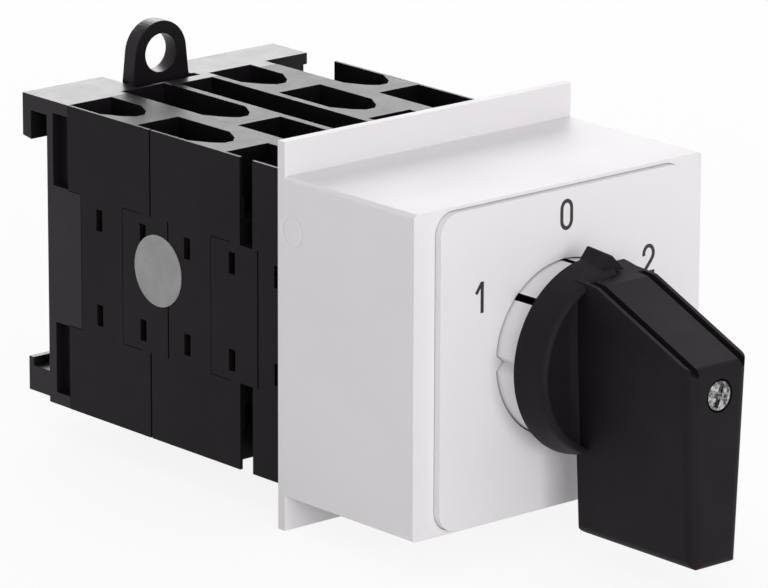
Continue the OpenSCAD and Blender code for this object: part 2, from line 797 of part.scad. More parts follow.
module upper_terminal_screws() {
  color("#c3c5c7") each_level() {
    terminal_screw($level, outer_side($level), outer_mid);
    terminal_screw($level, -outer_side($level), inner_mid);
  }
}

module lower_terminal_screws() {
  mirror([0, 0, 1]) upper_terminal_screws();
}

// Detent housing inside the cover, with the star wheel, the stop plate and two sprung rollers
housing_half_w = cover_w / 2 - cover_wall - 0.6;
housing_half_h = cover_h / 2 - cover_wall - 0.3;
housing_rear = stack_end;
detent_cover_t = 2.4;
lid_gap = 0.2;
housing_front = cover_front - cover_front_t - detent_cover_t - lid_gap;
star_s0 = housing_rear + star_back;
star_t = 5;
star_s1 = star_s0 + star_t;
stop_s0 = star_s1 + 0.3;
stop_t = 2;
stop_pin_r = 1.1;
stop_pin_at = 5.7;
stop_slot_half = stop_pin_r + 0.2;
star_hub_r = 3.9;
star_room_r = star_r + 0.8;
detent_w = 6;
detent_t = 4.4;
detent_travel = 1.2;
roller_z = star_r + 0.05 + roller_r;
detent_top_z = roller_z + roller_r + 1.6;
detent_spring_end = housing_half_h - 1.4;
detent_spring_r = 1.7;

module detent_housing() {
  s_mid = (star_s0 + star_s1) / 2;
  color("#2a2a2c") difference() {
    block(-housing_half_w, housing_half_w, housing_rear, housing_front, -housing_half_h,
      housing_half_h);
    bar(star_room_r, star_s0 - 0.3, housing_front + more);
    bar(star_hub_r + 0.3, housing_rear - more, star_s0);
    // Ways of the detent slides and their springs
    top_and_bottom() {
      block(-detent_w / 2 - slide_gap, detent_w / 2 + slide_gap, s_mid - detent_t / 2 - slide_gap,
        s_mid + detent_t / 2 + slide_gap, 0, detent_top_z + detent_travel + 0.3);
      translate([0, -s_mid, 0]) cylinder(r = detent_spring_r + slide_gap, h = detent_spring_end);
    }
    four_corners(bolt_x, bolt_z) bar(bolt_r + fit_gap, housing_rear - more, nut_s0 + more);
    four_corners(bolt_x, bolt_z) bar(nut_r + fit_gap, nut_s0, housing_front + more);
    // Lightening pockets at the sides
    both_sides() block(housing_half_w - 3.6, housing_half_w - 1.4, housing_rear + 1.4,
      housing_front + more, -8, 8);
  }
}

// Front lid of the detent housing
module detent_cover() {
  color("#2a2a2c") difference() {
    block(-housing_half_w, housing_half_w, housing_front, housing_front + detent_cover_t,
      -housing_half_h, housing_half_h);
    bar(star_hub_r + 2.2, housing_front - more, housing_front + detent_cover_t + more);
    four_corners(bolt_x, bolt_z) bar(nut_r + fit_gap, housing_front - more,
      housing_front + detent_cover_t + more);
  }
}

// Star wheel: six notches for the rollers and a pin that runs in the stop plate
module star_outline() {
  polygon([for (a = [0 : 5 : 355]) (star_r - notch_d * (1 + cos(6 * a)) / 2) * [sin(a), cos(a)]]);
}

module star_wheel() {
  color("#d8d3c4") difference() {
    union() {
      front_outline(star_s0, star_s1) star_outline();
      bar(star_hub_r, star_s0 - 3.2, star_s0 + 1);
      bar(stop_pin_r, star_s1 - 1, stop_s0 + stop_t, 0, stop_pin_at);
    }
    block(-shaft_sq / 2 - run, shaft_sq / 2 + run, star_s0 - 5, star_s1 + 5,
      -shaft_sq / 2 - run, shaft_sq / 2 + run);
  }
}

// Stop plate: an arc-shaped slot lets the pin turn from 1 to 2
module stop_plate() {
  reach = index_deg + 1;
  hub_hole = stop_pin_at - stop_slot_half - 0.6;
  color("#9a9c9f") difference() {
    bar(star_room_r - fit_gap, stop_s0, stop_s0 + stop_t);
    bar(hub_hole, stop_s0 - more, stop_s0 + stop_t + more);
    difference() {
      bar(stop_pin_at + stop_pin_r + fit_gap, stop_s0 - more, stop_s0 + stop_t + more);
      bar(stop_pin_at - stop_pin_r - fit_gap, stop_s0 - 1, stop_s0 + stop_t + 1);
      front_outline(stop_s0 - 1, stop_s0 + stop_t + 1) polygon(concat([[0, 0]],
        [for (a = [reach : 10 : 360 - reach]) 20 * [sin(a), cos(a)]],
        [20 * [-sin(reach), cos(reach)]]));
    }
    for (a = [-reach, reach]) rotate([0, a, 0])
      bar(stop_slot_half, stop_s0 - more, stop_s0 + stop_t + more, 0, stop_pin_at);
  }
}

module detent_slide() {
  s_mid = (star_s0 + star_s1) / 2;
  difference() {
    block(-detent_w / 2, detent_w / 2, s_mid - detent_t / 2, s_mid + detent_t / 2,
      roller_z - 0.6, detent_top_z);
    bar(roller_r + run, s_mid - detent_t, s_mid + detent_t, 0, roller_z);
  }
}

module detent_roller() {
  s_mid = (star_s0 + star_s1) / 2;
  bar(roller_r, s_mid - detent_t / 2 + fit_gap, s_mid + detent_t / 2 - fit_gap, 0, roller_z);
}

module upper_detent_slide() {
  color("#e2ded2") detent_slide();
}

module lower_detent_slide() {
  color("#e2ded2") mirror([0, 0, 1]) detent_slide();
}

module upper_detent_roller() {
  color("#b4b6b8") detent_roller();
}

module lower_detent_roller() {
  color("#b4b6b8") mirror([0, 0, 1]) detent_roller();
}

module upper_detent_spring() {
  color("#b9bcc0") translate([0, -(star_s0 + star_s1) / 2, detent_top_z])
    coil(detent_spring_r, 0.5, detent_spring_end - detent_top_z, 6);
}

module lower_detent_spring() {
  mirror([0, 0, 1]) upper_detent_spring();
}

// Tie bolts through the whole stack, with their nuts in the detent housing
nut_s0 = housing_rear + 4;
nut_r = 2.6;
nut_h = 2;
bolt_end = nut_s0 + nut_h + 1;
module tie_bolts() {
  color("#b9bcc0") four_corners(bolt_x, bolt_z) difference() {
    union() {
      bar(bolt_head_r, 0.3, 0.3 + bolt_head_h);
      bar(bolt_r, 0.3 + bolt_head_h - 0.1, bolt_end);
    }
    block(-bolt_head_r - more, bolt_head_r + more, -more, 1, -0.3, 0.3);
  }
}

module tie_nuts() {
  color("#b9bcc0") four_corners(bolt_x, bolt_z) difference() {
    translate([0, -nut_s0, 0]) rotate([90, 0, 0]) cylinder(r = nut_r, h = nut_h, $fn = 6);
    bar(bolt_r + run, nut_s0 - more, nut_s0 + nut_h + more);
  }
}

// White cover: a box that is open to the rear, with a flange above and below
module flat_rounded_rect(w, h, r) {
  square([w - 2 * r, h], center = true);
  square([w, h - 2 * r], center = true);
  for (sx = [-1, 1], sy = [-1, 1]) translate([sx * (w / 2 - r), sy * (h / 2 - r)]) circle(r = r);
}

cover_edge_r = 0.6;
module front_cover() {
  color("#e9e9ea") difference() {
    union() {
      front_outline(cover_rear, cover_front) flat_rounded_rect(cover_w, cover_h, cover_edge_r);
      block(-cover_w / 2, cover_w / 2, cover_rear, cover_rear + flange_t, -flange_h / 2,
        flange_h / 2);
    }
    block(-cover_w / 2 + cover_wall, cover_w / 2 - cover_wall, cover_rear - more,
      cover_front - cover_front_t, -cover_h / 2 + cover_wall, cover_h / 2 - cover_wall);
    front_outline(plate_rear, cover_front + more)
      flat_rounded_rect(plate_w + 2 * fit_gap, plate_h + 2 * fit_gap, plate_r + fit_gap);
    bar(collar_r + fit_gap, cover_rear, cover_front + more);
  }
}

// Dial plate with the round hole and two key teeth
module key_tooth(grow, s0, s1) {
  front_outline(s0, s1) both_keys_outline(grow);
}

module both_keys_outline(grow) {
  for (side = [-1, 1]) scale([side, 1]) polygon([
    [collar_r - key_d - grow, 0], [dial_hole_r + 1, -key_half - grow - 0.6],
    [dial_hole_r + 1, key_half + grow + 0.6]
  ]);
}

module dial_plate() {
  color("#ececed") difference() {
    front_outline(plate_rear, plate_front) flat_rounded_rect(plate_w, plate_h, plate_r);
    difference() {
      bar(dial_hole_r, plate_rear - more, plate_front + more);
      key_tooth(0, plate_rear - 1, plate_front + 1);
    }
  }
}

// White collar around the knob's hub, with key grooves and three slots
collar_rear = housing_front + detent_cover_t;
module front_collar() {
  color("#f0f0f0") difference() {
    bar(collar_r, collar_rear, collar_face);
    bar(collar_bore_r, collar_rear - more, collar_face + more);
    key_tooth(slide_gap, collar_rear - more, collar_face + more);
    for (a = [-45, 0, 45]) rotate([0, a, 0]) block(-collar_slot_w / 2, collar_slot_w / 2,
      plate_rear, collar_face + more, collar_bore_r - more, collar_r + more);
  }
}

// Knob: skirt with a recessed face, hub in the collar, pointer and a grip that hangs down
hub_rear_s = collar_rear + 0.4;
knob_hub_r = collar_bore_r - run;
grip_rear = recess_floor - 0.1;
grip_rear_r = 0.4;
flat_end = skirt_rear + grip_flat;
screw_seat = grip_front - 2.2;
skirt_round = 1.25;
fillet_w = 0.8;
fillet_d = 1.3;
pointer_behind = 0.6;
pointer_front = skirt_front - 1;
pointer_low = collar_r + 0.2;

// Height of the grip's flat top, and of its slope, above the axis
function flat_z(s) = grip_top_z + grip_rise * (flat_end - s) / grip_flat;
function slope_z(s) = grip_top_z
  - (grip_top_z - grip_front_z) * (s - flat_end) / (grip_front - flat_end);

module skirt() {
  lip = skirt_front_r - recess_r - 0.1;
  arc = [for (a = [0 : 15 : 90])
    [skirt_front_r - lip * (1 - cos(a)), skirt_d - skirt_round * (1 - sin(a))]];
  face = skirt_d - skirt_recess;
  translate([0, -skirt_rear, 0]) rotate([90, 0, 0]) rotate_extrude()
    polygon(concat([[0, 0], [skirt_r, 0]], arc, [[recess_r, skirt_d], [recess_r, face], [0, face]]));
}

// Land beside the pointer, level with the grip's top
module land_cut() {
  s0 = skirt_rear - 1;
  s1 = skirt_front + 1;
  low = 0.02;
  side_outline(0, skirt_r + more) polygon([
    [s0, flat_z(s0) - low], [s1, flat_z(s1) - low], [s1, skirt_r + 1], [s0, skirt_r + 1]
  ]);
}

module grip_posts(half, z0, z1) {
  both_sides() for (post = [[grip_rear + grip_rear_r, grip_rear_r],
                            [grip_front - grip_edge_r, grip_edge_r]])
    translate([half - post[1], -post[0], z0]) cylinder(r = post[1], h = z1 - z0, $fn = 48);
}

// Seen from the side, the grip is flat behind, slopes down in front and has round corners
module grip_profile() {
  offset(r = grip_corner_r) offset(delta = -grip_corner_r) polygon([
    [skirt_rear, flat_z(skirt_rear)], [flat_end, grip_top_z], [grip_front, grip_front_z],
    [grip_front, -grip_low_z], [grip_rear, -grip_low_z], [grip_rear, 0], [skirt_rear, 0]
  ]);
}

// Seen from the front, the grip has round corners at its lower end
module grip_foot_profile() {
  wide = grip_half_top + 1;
  offset(r = grip_foot_r) offset(delta = -grip_foot_r) polygon([
    [-grip_half_low, -grip_low_z], [grip_half_low, -grip_low_z], [wide, skirt_r], [-wide, skirt_r]
  ]);
}

module grip() {
  intersection() {
    hull() {
      grip_posts(grip_half_low, -grip_low_z, -grip_low_z + 0.1);
      grip_posts(grip_half_top, grip_front_z, skirt_r);
    }
    side_outline(-grip_half_top - 1, grip_half_top + 1) grip_profile();
    front_outline(grip_rear - 1, grip_front + 1) grip_foot_profile();
  }
}

// Slanting strip between the grip's sides and the recess
module grip_fillet() {
  intersection() {
    hull() {
      fillet_slice(grip_half_low, -grip_low_z);
      fillet_slice(grip_half_top, grip_front_z);
      fillet_slice(grip_half_top, grip_top_z - 1);
    }
    bar(recess_r + 0.2, grip_rear, recess_floor + fillet_d + more);
  }
}

module fillet_slice(half, z) {
  inside = half - 0.3;
  translate([0, 0, z]) linear_extrude(height = 0.1) polygon([
    [-half - fillet_w, -grip_rear], [-inside, -recess_floor - fillet_d],
    [inside, -recess_floor - fillet_d], [half + fillet_w, -grip_rear]
  ]);
}

module rim_grooves() {
  s1 = grip_front + 1;
  both_sides() side_outline(grip_half_top - rim_w - rim_groove_w, grip_half_top - rim_w) polygon([
    [skirt_front, flat_z(skirt_front) - rim_groove_d], [flat_end, grip_top_z - rim_groove_d],
    [s1, slope_z(s1) - rim_groove_d], [s1, skirt_r], [skirt_front, skirt_r]
  ]);
}

module pointer_slice(s, z) {
  ridge_half = 0.15;
  front_outline(s, s + 0.1) polygon([
    [-pointer_half, pointer_low], [-ridge_half, z], [ridge_half, z], [pointer_half, pointer_low]
  ]);
}

module knob() {
  color("#19191b") difference() {
    union() {
      difference() {
        skirt();
        land_cut();
      }
      bar(knob_hub_r, hub_rear_s, skirt_rear + 1);
      hull() {
        pointer_slice(skirt_rear - pointer_behind, pointer_z + pointer_rise);
        pointer_slice(pointer_front - 0.1, pointer_z);
      }
      grip();
      grip_fillet();
    }
    rim_grooves();
    block(-shaft_sq / 2 - run, shaft_sq / 2 + run, hub_rear_s - more, shaft_end + 0.2,
      -shaft_sq / 2 - run, shaft_sq / 2 + run);
    bar(knob_screw_r + fit_gap, shaft_end - 1, grip_front + 1);
    bar(knob_screw_head_r + washer_gap, screw_seat, grip_front + 1);
  }
}

washer_gap = 0.3;
washer_t = 0.4;
module knob_washer() {
  color("#c3c5c7") difference() {
    bar(knob_screw_head_r + washer_gap - 0.2, screw_seat, screw_seat + washer_t);
    bar(knob_screw_r + fit_gap, screw_seat - more, screw_seat + 1);
  }
}

// Cross-recess screw that holds the knob on the shaft
knob_screw_head_h = 1.7;
knob_screw_grip = 8;
cross_w = 0.8;
cross_half = 1.6;
cross_d = 0.9;
cross_turn = 20;
module knob_screw() {
  head = screw_seat + washer_t;
  head_front = head + knob_screw_head_h;
  color("#d5d7d9") difference() {
    union() {
      bar(knob_screw_head_r, head, head_front);
      bar(knob_screw_r - run, shaft_end - knob_screw_grip, head + 0.1);
    }
    for (a = [0, 90]) rotate([0, a + cross_turn, 0])
      block(-cross_w / 2, cross_w / 2, head_front - cross_d, head_front + more, -cross_half,
        cross_half);
  }
}

// Round blank label on the left side
label_r = 5.1;
label_t = 0.12;
label_s = 24.9;
label_z = 2.4;
module inspection_label() {
  color("#b8b8ba") translate([-half_w, -label_s, label_z]) rotate([0, -90, 0])
    cylinder(r = label_r, h = label_t);
}

rail_foot();
rail_latch();
latch_spring();
rear_chamber();
middle_chamber();
front_chamber();
detent_housing();
detent_cover();
rear_bearing();
shaft();
cam(0);  // cam_1
cam(1);  // cam_2
cam(2);  // cam_3
cam(3);  // cam_4
cam(4);  // cam_5
upper_plungers();
lower_plungers();
upper_bridges();
lower_bridges();
upper_springs();
lower_springs();
upper_fixed_contacts();
lower_fixed_contacts();
upper_clamps();
lower_clamps();
upper_terminal_screws();
lower_terminal_screws();
star_wheel();
stop_plate();
upper_detent_slide();
lower_detent_slide();
upper_detent_roller();
lower_detent_roller();
upper_detent_spring();
lower_detent_spring();
tie_bolts();
tie_nuts();
front_cover();
dial_plate();
front_collar();
knob();
knob_screw();
knob_washer();
inspection_label();
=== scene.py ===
"""Dresses the changeover switch 1-0-2: finishes, printed numerals, edges, light and camera."""

import json
import math

import bmesh
import bpy
from mathutils import Matrix, Vector


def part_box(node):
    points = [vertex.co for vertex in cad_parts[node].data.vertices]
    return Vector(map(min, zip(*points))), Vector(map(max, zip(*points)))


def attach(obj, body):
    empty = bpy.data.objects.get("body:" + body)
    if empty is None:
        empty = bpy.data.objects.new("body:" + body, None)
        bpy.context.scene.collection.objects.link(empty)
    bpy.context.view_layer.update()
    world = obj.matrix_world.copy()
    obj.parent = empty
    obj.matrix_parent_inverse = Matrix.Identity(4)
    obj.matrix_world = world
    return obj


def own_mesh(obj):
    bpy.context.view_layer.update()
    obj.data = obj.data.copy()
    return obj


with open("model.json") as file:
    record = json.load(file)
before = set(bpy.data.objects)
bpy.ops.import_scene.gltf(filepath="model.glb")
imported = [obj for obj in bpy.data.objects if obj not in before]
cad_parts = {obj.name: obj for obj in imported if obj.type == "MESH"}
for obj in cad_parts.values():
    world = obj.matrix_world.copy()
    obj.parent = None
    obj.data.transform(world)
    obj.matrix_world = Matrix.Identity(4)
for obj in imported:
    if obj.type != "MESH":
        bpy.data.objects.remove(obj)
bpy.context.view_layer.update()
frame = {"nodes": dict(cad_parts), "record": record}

MM = 0.001
IMAGE_W = 768
IMAGE_H = 588

# Camera, solved from the width of the cover, its height and the rail foot
CAM_AZIMUTH = -40.98
CAM_ELEVATION = 15.75
CAM_ROLL = 0.2
CAM_DISTANCE = 815.03 * MM
CAM_TARGET = Vector((-13.94, -61.8, 5.36)) * MM
FOCAL_PX = 6041.14
CENTRE_PX = (382.86, 294.04)
SENSOR = 36.0
CLIP_NEAR = 0.01
CLIP_FAR = 10


def make_camera():
    """Camera at the photograph's place. Its shift puts the solved centre in the picture."""
    data = bpy.data.cameras.new("camera")
    cam = bpy.data.objects.new("camera", data)
    bpy.context.scene.collection.objects.link(cam)
    a = math.radians(CAM_AZIMUTH)
    e = math.radians(CAM_ELEVATION)
    back = Vector((math.sin(a) * math.cos(e), -math.cos(a) * math.cos(e), math.sin(e)))
    turn = (-back).to_track_quat("-Z", "Y") @ Matrix.Rotation(
        math.radians(CAM_ROLL), 3, "Z").to_quaternion()
    cam.rotation_mode = "QUATERNION"
    cam.rotation_quaternion = turn
    cam.location = CAM_TARGET + back * CAM_DISTANCE
    data.sensor_width = SENSOR
    data.lens = FOCAL_PX * SENSOR / IMAGE_W
    data.shift_x = (IMAGE_W / 2 - CENTRE_PX[0]) / IMAGE_W
    data.shift_y = (CENTRE_PX[1] - IMAGE_H / 2) / IMAGE_W
    data.clip_start = CLIP_NEAR
    data.clip_end = CLIP_FAR
    bpy.context.scene.camera = cam


# Node helpers

def new_material(name):
    """Empty node material: its tree holds one Principled shader, joined to the output."""
    mat = bpy.data.materials.new(name)
    mat.use_nodes = True
    tree = mat.node_tree
    tree.nodes.clear()
    out = tree.nodes.new("ShaderNodeOutputMaterial")
    shader = tree.nodes.new("ShaderNodeBsdfPrincipled")
    tree.links.new(shader.outputs[0], out.inputs[0])
    return mat, tree, shader


def position(tree):
    """Place of the shaded point in the scene."""
    return tree.nodes.new("ShaderNodeNewGeometry").outputs["Position"]


def noise(tree, size_mm, detail=2.0):
    """Noise whose features measure about size_mm."""
    node = tree.nodes.new("ShaderNodeTexNoise")
    node.inputs["Scale"].default_value = 1 / (size_mm * MM)
    node.inputs["Detail"].default_value = detail
    tree.links.new(position(tree), node.inputs["Vector"])
    return node.outputs["Fac"]


def two_tones(tree, value, places, colours):
    """Colour for a value: the first up to the first place, the second from the second on."""
    node = tree.nodes.new("ShaderNodeValToRGB")
    for point, at, colour in zip(node.color_ramp.elements, places, colours):
        point.position = at
        point.color = (*colour, 1)
    tree.links.new(value, node.inputs[0])
    return node.outputs[0]


def map_range(tree, value, low, high, reach=1.0):
    """The value, brought from its own range, 0 to reach, to the one from low to high."""
    node = tree.nodes.new("ShaderNodeMapRange")
    node.inputs["From Max"].default_value = reach
    node.inputs["To Min"].default_value = low
    node.inputs["To Max"].default_value = high
    tree.links.new(value, node.inputs["Value"])
    return node.outputs[0]


def math_node(tree, operation, *values):
    """One arithmetic step on sockets or numbers."""
    node = tree.nodes.new("ShaderNodeMath")
    node.operation = operation
    for socket, value in zip(node.inputs, values):
        if isinstance(value, float):
            socket.default_value = value
        else:
            tree.links.new(value, socket)
    return node.outputs[0]


def bump(tree, height, shader, depth_mm, strength=1.0):
    """Relief of a height on the shader's surface."""
    node = tree.nodes.new("ShaderNodeBump")
    node.inputs["Strength"].default_value = strength
    node.inputs["Distance"].default_value = depth_mm * MM
    tree.links.new(height, node.inputs["Height"])
    tree.links.new(node.outputs[0], shader.inputs["Normal"])
    return node


# Black plastic reflects a little less green
COOL_SHEEN = (1, 0.86, 1, 1)
PLAIN_SHEEN = (1, 1, 1, 1)
# Places of the two tones on a noise, whose values lie around 0.5
PLASTIC_TONES_AT = (0.3, 0.7)
METAL_TONES_AT = (0.38, 0.68)
PLASTIC_DETAIL = 3.0
METAL_DETAIL = 4.0
# How far the gloss wanders below and above its mean
PLASTIC_GLOSS = (0.04, 0.05)
METAL_GLOSS = (0.08, 0.1)
METAL_GRAIN_MM = 0.15
METAL_GRAIN_DEPTH_MM = 0.01
METAL_GRAIN_STRENGTH = 0.5


def uneven_gloss(tree, shader, size_mm, rough, spread):
    """Roughness that wanders around its mean in patches of a size."""
    below, above = spread
    tree.links.new(map_range(tree, noise(tree, size_mm), rough - below, rough + above),
                   shader.inputs["Roughness"])


def moulded(name, dark, light, rough, texture_mm, depth_mm, specular, patch_mm=9.0,
            sheen=PLAIN_SHEEN):
    """Moulded plastic: fine erosion texture, soft patches of tone and uneven gloss."""
    mat, tree, shader = new_material(name)
    patches = noise(tree, patch_mm, PLASTIC_DETAIL)
    tree.links.new(two_tones(tree, patches, PLASTIC_TONES_AT, (dark, light)),
                   shader.inputs["Base Color"])
    uneven_gloss(tree, shader, patch_mm / 3, rough, PLASTIC_GLOSS)
    shader.inputs["Specular IOR Level"].default_value = specular
    shader.inputs["Specular Tint"].default_value = sheen
    bump(tree, noise(tree, texture_mm, PLASTIC_DETAIL), shader, depth_mm)
    return mat


def metal(name, colour, rough, scratch_and_glint_mm=0.6, wear_and_glint_share=0.8):
    """Metal whose tone wanders between the colour and a share of it: wear, and where the share
    is small, painted glints and dark reflections.
    """
    mat, tree, shader = new_material(name)
    dull = tuple(c * wear_and_glint_share for c in colour)
    scratch_and_glint_mottle = noise(tree, scratch_and_glint_mm, METAL_DETAIL)
    tree.links.new(two_tones(tree, scratch_and_glint_mottle, METAL_TONES_AT, (dull, colour)),
                   shader.inputs["Base Color"])
    shader.inputs["Metallic"].default_value = 1
    uneven_gloss(tree, shader, scratch_and_glint_mm, rough, METAL_GLOSS)
    bump(tree, noise(tree, METAL_GRAIN_MM), shader, METAL_GRAIN_DEPTH_MM, METAL_GRAIN_STRENGTH)
    return mat


BLACK = moulded("black_case", (0.0052, 0.0043, 0.0052), (0.0078, 0.0066, 0.0078),
                rough=0.38, texture_mm=0.35, depth_mm=0.02, specular=0.09, sheen=COOL_SHEEN)
BLACK_FOOT = moulded("black_foot", (0.0072, 0.006, 0.0072), (0.0108, 0.0092, 0.0108),
                     rough=0.31, texture_mm=0.35, depth_mm=0.02, specular=0.18,
                     sheen=COOL_SHEEN)
BLACK_KNOB = moulded("black_knob", (0.0072, 0.0059, 0.0072), (0.0104, 0.0087, 0.0104),
                     rough=0.6, texture_mm=0.3, depth_mm=0.02, specular=0.14, sheen=COOL_SHEEN)
WHITE = moulded("white_cover", (0.745, 0.722, 0.745), (0.775, 0.752, 0.775),
                rough=0.5, texture_mm=0.5, depth_mm=0.01, specular=0.22, patch_mm=25)
CREAM = moulded("cream_acetal", (0.60, 0.55, 0.44), (0.66, 0.61, 0.50),
                rough=0.40, texture_mm=0.4, depth_mm=0.01, specular=0.5)
PRINT = moulded("print_ink", (0.022, 0.021, 0.022), (0.032, 0.031, 0.032),
                rough=0.5, texture_mm=0.2, depth_mm=0.004, specular=0.3)
PAPER = moulded("label_film", (0.25, 0.245, 0.25), (0.31, 0.305, 0.31),
                rough=0.38, texture_mm=0.25, depth_mm=0.006, specular=0.5, patch_mm=2.5)
STEEL = metal("zinc_plated_steel", (0.62, 0.62, 0.63), rough=0.3)
# Painted reflection: the knob screw's tone is mottled from nearly black to bright, in place of
# its glints and dark reflections
GLINT_MOTTLED_STEEL = metal("steel_painted_glints", (0.66, 0.65, 0.66), rough=0.26, scratch_and_glint_mm=0.5, wear_and_glint_share=0.12)
COPPER = metal("contact_copper", (0.78, 0.42, 0.26), rough=0.32)
BRONZE = metal("sintered_bronze", (0.52, 0.38, 0.2), rough=0.45)

# Painted shade: the walls of the collar's deep, narrow slots are painted black where shade
# falls in them
SLOT_HALF_MM = 0.56
SLOT_DEGREES = (-45, 0, 45)
SLOT_PAINTED_SHADE = (0.004, 0.0036, 0.004, 1)


def along(tree, direction):
    """Distance from the shaft's axis along a direction."""
    node = tree.nodes.new("ShaderNodeVectorMath")
    node.operation = "DOT_PRODUCT"
    tree.links.new(position(tree), node.inputs[0])
    node.inputs[1].default_value = direction
    return node.outputs["Value"]


def shader_of(mat):
    """The material's Principled shader."""
    return next(n for n in mat.node_tree.nodes if n.type == "BSDF_PRINCIPLED")


def copied(name, finish):
    """A finish of the same look under its own name."""
    mat = finish.copy()
    mat.name = name
    return mat


def shade_painted_slots(name, finish):
    """The given finish with painted shade: black walls in the three slots around the collar's
    top.
    """
    mat = copied(name, finish)
    tree = mat.node_tree
    slot_shade_mask = None
    for degrees in SLOT_DEGREES:
        a = math.radians(degrees)
        across = math_node(tree, "ABSOLUTE", along(tree, (math.cos(a), 0, -math.sin(a))))
        near = math_node(tree, "LESS_THAN", across, SLOT_HALF_MM * MM)
        above = math_node(tree, "GREATER_THAN", along(tree, (math.sin(a), 0, math.cos(a))), 0.0)
        part = math_node(tree, "MULTIPLY", near, above)
        slot_shade_mask = part if slot_shade_mask is None else math_node(tree, "MAXIMUM", slot_shade_mask, part)
    shader = shader_of(mat)
    plain = shader.inputs["Base Color"].links[0].from_socket
    mix = tree.nodes.new("ShaderNodeMixRGB")
    mix.inputs["Color2"].default_value = SLOT_PAINTED_SHADE
    tree.links.new(slot_shade_mask, mix.inputs["Fac"])
    tree.links.new(plain, mix.inputs["Color1"])
    tree.links.new(mix.outputs[0], shader.inputs["Base Color"])
    return mat


# Shallow round mark of the mould on the cover's left side
MARK_AT_MM = (-25.95, -57.05, 15.15)
MARK_RADIUS_MM = 2.0
MARK_LINE_MM = 0.3
MARK_DEPTH_MM = 0.06


def marked(name, finish):
    """The given finish with a round mould mark pressed into it."""
    mat = copied(name, finish)
    tree = mat.node_tree
    span = tree.nodes.new("ShaderNodeVectorMath")
    span.operation = "DISTANCE"
    tree.links.new(position(tree), span.inputs[0])
    span.inputs[1].default_value = tuple(c * MM for c in MARK_AT_MM)
    off = math_node(tree, "SUBTRACT", span.outputs["Value"], MARK_RADIUS_MM * MM)
    height = map_range(tree, math_node(tree, "ABSOLUTE", off), 0.0, 1.0, MARK_LINE_MM * MM)
    shader = shader_of(mat)
    texture = shader.inputs["Normal"].links[0].from_socket
    groove = bump(tree, height, shader, MARK_DEPTH_MM)
    tree.links.new(texture, groove.inputs["Normal"])
    return mat


# Nodes whose finish differs from that of their material
OWN_FINISH = {
    "front_cover": marked("marked_cover", WHITE),
    # The collar's slot walls carry painted shade in black
    "front_collar": shade_painted_slots("white_collar_painted_slot_shade", WHITE),
    # The knob screw's mottled tone is painted glints and dark reflections
    "knob_screw": GLINT_MOTTLED_STEEL,
    "rail_foot": BLACK_FOOT,
    "rail_latch": BLACK_FOOT,
}

FINISH = {
    "black_plastic": BLACK,
    "knob_plastic": BLACK_KNOB,
    "white_plastic": WHITE,
    "cam_plastic": CREAM,
    "steel": STEEL,
    "copper": COPPER,
    "bronze": BRONZE,
    "paper": PAPER,
}


def finish_nodes():
    """Each CAD node gets its own finish, or else that of its material."""
    for row in frame["record"]["subparts"]:
        node = frame["nodes"][row["node"]]
        node.data.materials.clear()
        finish = OWN_FINISH.get(row["node"], FINISH[row["material_slot"]])
        node.data.materials.append(finish)


# Rounded edges of the CAD shells
EDGE_MM = {
    "front_cover": 0.6,
    "dial_plate": 0.6,
    "rail_latch": 0.3,
    "rail_foot": 0.15,
    "rear_chamber": 0.16,
    "middle_chamber": 0.16,
    "front_chamber": 0.16,
    "front_collar": 0.15,
    "knob": 0.25,
    "knob_screw": 0.12,
}
EDGE_STEPS = 3
SHARP_DEGREES = 40
WELD_MM = 0.01


def round_edges():
    """Joins the shells' triangles and rounds their sharp edges."""
    for name, width in EDGE_MM.items():
        node = frame["nodes"][name]
        weld = node.modifiers.new("weld", "WELD")
        weld.merge_threshold = WELD_MM * MM
        edge = node.modifiers.new("edge", "BEVEL")
        edge.width = width * MM
        edge.segments = EDGE_STEPS
        edge.limit_method = "ANGLE"
        edge.angle_limit = math.radians(SHARP_DEGREES)


# Printed numerals on the dial plate
DIGIT_H = 4.3
DIGIT_W = 2.3
STROKE = 0.54
BOW_STRETCH = 1.25
PRINT_T = 0.03
# Strokes that cross lie this much apart
PRINT_LIFT = 0.001
FLAG_STROKE = STROKE * 0.9
ZERO_AT = (0.13, 18.37)
ONE_AT = (-14.9, 9.63)
TWO_AT = (15.28, 9.5)


def arc(cx, cz, rx, rz, start, end, steps=16):
    """Points on an oval from one angle to another, in degrees."""
    span = [math.radians(start + (end - start) * i / steps) for i in range(steps + 1)]
    return [(cx + rx * math.cos(t), cz + rz * math.sin(t)) for t in span]


